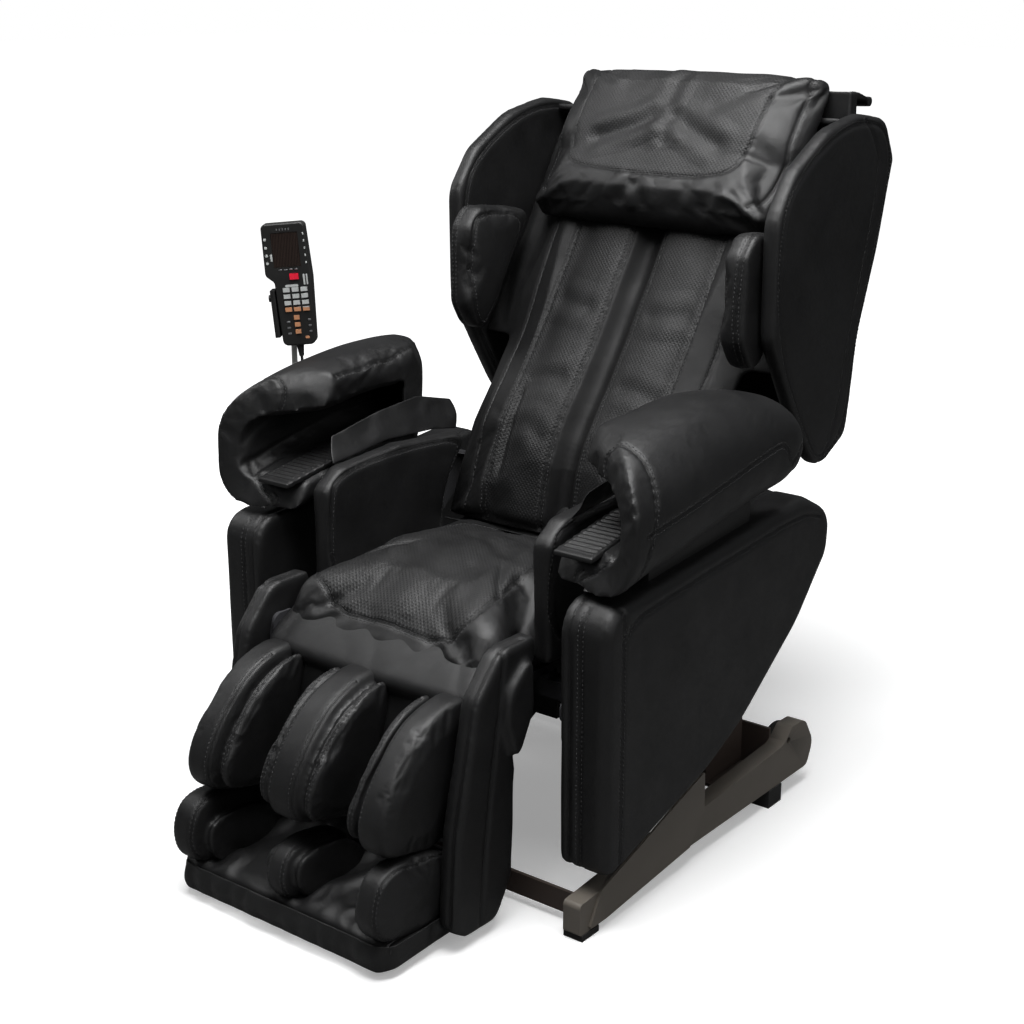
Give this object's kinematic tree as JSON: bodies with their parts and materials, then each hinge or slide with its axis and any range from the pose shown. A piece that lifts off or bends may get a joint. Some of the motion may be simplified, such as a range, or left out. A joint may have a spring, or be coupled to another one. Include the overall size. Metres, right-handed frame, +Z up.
{
  "type": "massage chair",
  "caption": "Reclining massage chair with wing-sided backrest, cuffed armrests, calf and foot massage wells and a handset on a pole.",
  "frame": {"origin": "on the floor, under the middle of the chair", "axes": "X to the sitter's left, Y from the front of the chair to its rear, Z up; the sitter faces -Y"},
  "size_m": [0.8845, 1.1913, 1.1948],
  "materials": {
    "leather": "satin",
    "base_paint": "satin",
    "bracket_paint": "satin",
    "frame_steel": "satin",
    "aluminium": "satin",
    "rubber": "matte",
    "roller_rubber": "matte",
    "black_plastic": "satin",
    "charcoal_plastic": "satin",
    "light_plastic": "satin",
    "red_plastic": "gloss",
    "screen_glass": "gloss",
    "white_paint": "gloss"
  },
  "bodies": {
    "base": {"base_rail_left": "base_paint", "base_rail_right": "base_paint", "side_gussets": "base_paint", "cross_plates": "base_paint", "tilt_brackets": "bracket_paint", "foot_pads": "rubber", "power_inlet": "black_plastic"},
    "wheels": {"transport_wheels": "black_plastic"},
    "rocker": {"power_rocker": "black_plastic"},
    "seat": {"seat_frame": "frame_steel", "side_panel_left": "leather", "side_panel_right": "leather", "seat_cushion": "leather", "hip_pad_left": "leather", "hip_pad_right": "leather", "armrest_runners": "black_plastic", "control_box": "black_plastic", "air_pump": "aluminium", "handset_stand": "white_paint", "handset_holder": "black_plastic", "handset_cord": "rubber"},
    "armrests": {"armrest_left": "leather", "armrest_right": "leather", "hand_pads": "leather"},
    "back": {"back_frame": "frame_steel", "back_wing_left": "leather", "back_wing_right": "leather", "rear_cover": "leather", "back_pad": "leather", "shoulder_pad_left": "leather", "shoulder_pad_right": "leather", "head_flap": "leather"},
    "pillow": {"head_pillow": "leather"},
    "carriage": {"massage_carriage": "frame_steel"},
    "arm_left": {"roller_arm_left": "frame_steel"},
    "arm_right": {"roller_arm_right": "frame_steel"},
    "upper_left": {"upper_roller_left": "roller_rubber"},
    "upper_right": {"upper_roller_right": "roller_rubber"},
    "lower_left": {"lower_roller_left": "roller_rubber"},
    "lower_right": {"lower_roller_right": "roller_rubber"},
    "recline_cylinder": {"recline_actuator": "aluminium"},
    "recline_piston": {"recline_rod": "frame_steel"},
    "leg_cylinder": {"leg_actuator": "aluminium"},
    "leg_piston": {"leg_rod": "frame_steel"},
    "leg_rest": {"leg_frame": "frame_steel", "leg_cover_left": "leather", "leg_cover_right": "leather", "calf_liner": "leather", "calf_pad_left": "leather", "calf_pad_right": "leather", "calf_pad_centre": "leather"},
    "foot_rest": {"foot_tray": "leather", "foot_side_pads": "leather", "foot_centre_pad": "leather"},
    "handset": {"handset_body": "charcoal_plastic", "handset_screen": "screen_glass", "cord_relief": "rubber"},
    "stop_button": {"stop_key": "red_plastic"},
    "program_buttons": {"program_keys": "light_plastic"},
    "arrow_buttons": {"arrow_keys": "light_plastic"}
  },
  "joints": [
    {"name": "wheel_spin", "type": "hinge", "parent": "base", "child": "wheels", "pos_m": [0, 0.318, 0.064], "axis": [1, 0, 0], "continuous": true},
    {"name": "rocker_tip", "type": "hinge", "parent": "base", "child": "rocker", "pos_m": [0.1373, 0.2895, 0.076], "axis": [0, 0, 1], "range_deg": [-6, 6]},
    {"name": "seat_tilt", "type": "hinge", "parent": "base", "child": "seat", "pos_m": [0, 0.175, 0.16], "axis": [-1, 0, 0], "range_deg": [0, 15]},
    {"name": "back_recline", "type": "hinge", "parent": "seat", "child": "back", "pos_m": [0, 0.11, 0.44], "axis": [-1, 0, 0], "range_deg": [0, 40]},
    {"name": "leg_lift", "type": "hinge", "parent": "seat", "child": "leg_rest", "pos_m": [0, -0.35, 0.372], "axis": [-1, 0, 0], "range_deg": [0, 75]},
    {"name": "foot_extend", "type": "slide", "parent": "leg_rest", "child": "foot_rest", "axis": [0, -0.2588, -0.9659], "range_m": [0, 0.15]},
    {"name": "armrest_slide", "type": "slide", "parent": "seat", "child": "armrests", "axis": [0, 0.9863, 0.165], "range_m": [0, 0.081]},
    {"name": "carriage_travel", "type": "slide", "parent": "back", "child": "carriage", "axis": [0, 0.5446, 0.8387], "range_m": [-0.155, 0.16]},
    {"name": "roller_arm_swing_left", "type": "hinge", "parent": "carriage", "child": "arm_left", "pos_m": [0, 0.34465, 0.71687], "axis": [-1, 0, 0], "range_deg": [-8, 8]},
    {"name": "roller_arm_swing_right", "type": "hinge", "parent": "carriage", "child": "arm_right", "pos_m": [0, 0.34465, 0.71687], "axis": [-1, 0, 0], "range_deg": [-8, 8]},
    {"name": "upper_roller_spin_left", "type": "hinge", "parent": "arm_left", "child": "upper_left", "pos_m": [0, 0.37271, 0.78211], "axis": [1, 0, 0], "continuous": true},
    {"name": "upper_roller_spin_right", "type": "hinge", "parent": "arm_right", "child": "upper_right", "pos_m": [0, 0.37271, 0.78211], "axis": [1, 0, 0], "continuous": true},
    {"name": "lower_roller_spin_left", "type": "hinge", "parent": "arm_left", "child": "lower_left", "pos_m": [0, 0.29646, 0.6647], "axis": [1, 0, 0], "continuous": true},
    {"name": "lower_roller_spin_right", "type": "hinge", "parent": "arm_right", "child": "lower_right", "pos_m": [0, 0.29646, 0.6647], "axis": [1, 0, 0], "continuous": true},
    {"name": "pillow_flip", "type": "hinge", "parent": "back", "child": "pillow", "pos_m": [0, 0.53143, 1.17983], "axis": [-1, 0, 0], "range_deg": [0, 110]},
    {"name": "recline_cylinder_swing", "type": "hinge", "parent": "seat", "child": "recline_cylinder", "pos_m": [0.07, -0.13, 0.208], "axis": [-1, 0, 0], "range_deg": [-4, 1]},
    {"name": "recline_piston_slide", "type": "slide", "parent": "recline_cylinder", "child": "recline_piston", "axis": [0, 0.898, 0.44], "range_m": [-0.0705, 0.001]},
    {"name": "leg_cylinder_swing", "type": "hinge", "parent": "seat", "child": "leg_cylinder", "pos_m": [-0.07, 0.04, 0.225], "axis": [-1, 0, 0], "range_deg": [-4, 1]},
    {"name": "leg_piston_slide", "type": "slide", "parent": "leg_cylinder", "child": "leg_piston", "axis": [0, -0.9728, 0.2317], "range_m": [-0.001, 0.1]},
    {"name": "handset_lift", "type": "slide", "parent": "seat", "child": "handset", "axis": [-0.0714, -0.05, 0.9962], "range_m": [0, 0.12]},
    {"name": "stop_key_press", "type": "slide", "parent": "handset", "child": "stop_button", "axis": [-0.5736, 0.8192, 0], "range_m": [0, 0.0012], "stiffness_N_per_m": 400},
    {"name": "program_keys_press", "type": "slide", "parent": "handset", "child": "program_buttons", "axis": [-0.5736, 0.8192, 0], "range_m": [0, 0.0012], "stiffness_N_per_m": 400},
    {"name": "arrow_keys_press", "type": "slide", "parent": "handset", "child": "arrow_buttons", "axis": [-0.5736, 0.8192, 0], "range_m": [0, 0.0012], "stiffness_N_per_m": 400}
  ],
  "couplings": [
    {"joint": "roller_arm_swing_right", "follows": "roller_arm_swing_left", "ratio": 1},
    {"joint": "armrest_slide", "follows": "back_recline", "m_per_rad": 0.1146},
    {"joint": "recline_cylinder_swing", "follows": "back_recline", "ratio": -0.0725},
    {"joint": "recline_piston_slide", "follows": "back_recline", "m_per_rad": -0.0997},
    {"joint": "leg_cylinder_swing", "follows": "leg_lift", "ratio": -0.0387},
    {"joint": "leg_piston_slide", "follows": "leg_lift", "m_per_rad": 0.0755}
  ]
}
